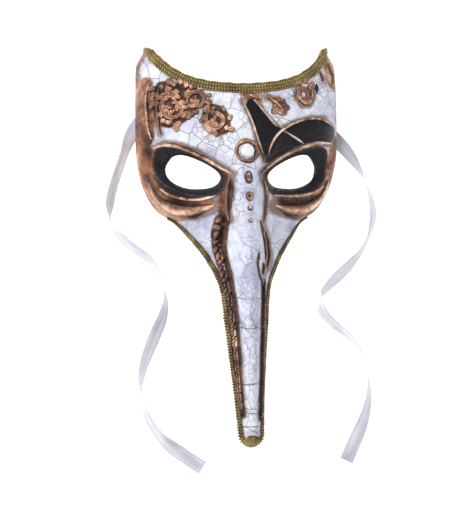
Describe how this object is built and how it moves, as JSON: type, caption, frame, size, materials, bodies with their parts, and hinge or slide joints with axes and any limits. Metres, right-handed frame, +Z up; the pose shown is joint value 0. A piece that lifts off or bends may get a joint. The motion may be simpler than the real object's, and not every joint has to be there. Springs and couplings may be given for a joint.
{
  "type": "plague doctor mask",
  "caption": "Long-nosed half mask with horned forehead edge, recessed eye holes, raised scroll relief, braid trim and two tie ribbons.",
  "frame": {"origin": "centre of the mask's bounding box in plan, on the surface it lies on; the ribbons are left out of the box", "axes": "+Z up from the table, out of the mask's face; +Y towards the horned forehead edge, so the nose runs towards -Y; +X towards the wearer's left side"},
  "size_m": [0.2434, 0.3679, 0.089],
  "materials": {
    "papier_mache": "satin",
    "copper_relief": "satin",
    "gold_braid": "satin",
    "satin_ribbon": "satin",
    "hot_glue": "satin",
    "white_dome": "gloss",
    "black_paint": "satin"
  },
  "bodies": {
    "root": {"boss_dome": "white_dome", "boss_ring": "copper_relief", "diamond_stud": "black_paint", "left_brow_line": "copper_relief", "left_cheek_roll": "copper_relief", "left_glue_patch": "hot_glue", "left_large_scroll": "copper_relief", "left_lower_lid": "copper_relief", "left_middle_scroll": "copper_relief", "left_nose_braid": "gold_braid", "left_nose_line": "copper_relief", "left_nose_rope": "copper_relief", "left_ribbon": "satin_ribbon", "left_side_loop": "copper_relief", "left_small_scroll": "copper_relief", "left_upper_lid": "copper_relief", "mask_shell": "papier_mache", "nose_stud": "copper_relief", "oval_stud": "copper_relief", "panel_left_vein": "copper_relief", "panel_long_vein": "copper_relief", "panel_lower_vein": "copper_relief", "panel_upper_vein": "copper_relief", "right_cheek_roll": "copper_relief", "right_glue_patch": "hot_glue", "right_inner_scroll": "copper_relief", "right_lower_lid": "copper_relief", "right_nose_braid": "gold_braid", "right_nose_line": "copper_relief", "right_nose_rope": "copper_relief", "right_nose_scroll": "copper_relief", "right_outer_scroll": "copper_relief", "right_ribbon": "satin_ribbon", "right_upper_lid": "copper_relief", "ring_stud": "copper_relief", "small_stud": "copper_relief", "top_braid": "gold_braid"}
  },
  "joints": []
}
